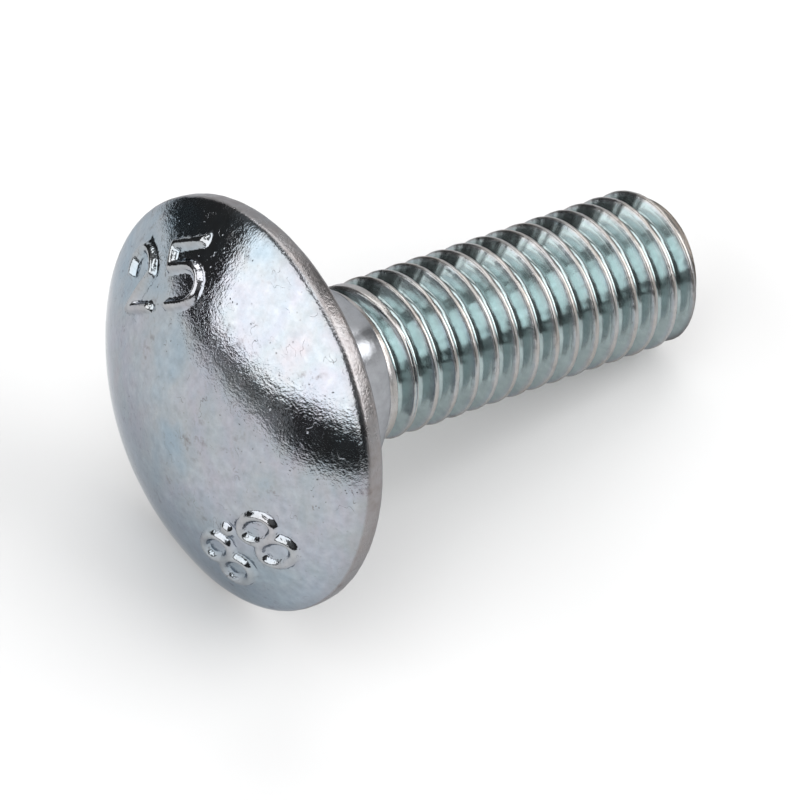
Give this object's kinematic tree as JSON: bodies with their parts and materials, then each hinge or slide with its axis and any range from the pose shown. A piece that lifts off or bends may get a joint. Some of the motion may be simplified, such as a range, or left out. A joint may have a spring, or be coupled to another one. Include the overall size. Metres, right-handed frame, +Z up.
{
  "type": "carriage bolt",
  "caption": "Carriage bolt with a low domed head, a short square neck and a metric thread up to the neck, in bright zinc plate, lying at rest.",
  "frame": {"origin": "bottom centre of the box round the bolt as it lies on a level surface", "axes": "+Z up, +X level and under the bolt's own axis, from the head towards the tip; the bolt leans 14.3 degrees down towards its tip"},
  "size_m": [0.0304, 0.0206, 0.0201],
  "materials": {
    "zinc_plate": "bright zinc plated steel, satin, with faint lilac and yellow tints and small nicks"
  },
  "bodies": {
    "root": {"carriage_bolt": "zinc_plate"}
  },
  "joints": []
}
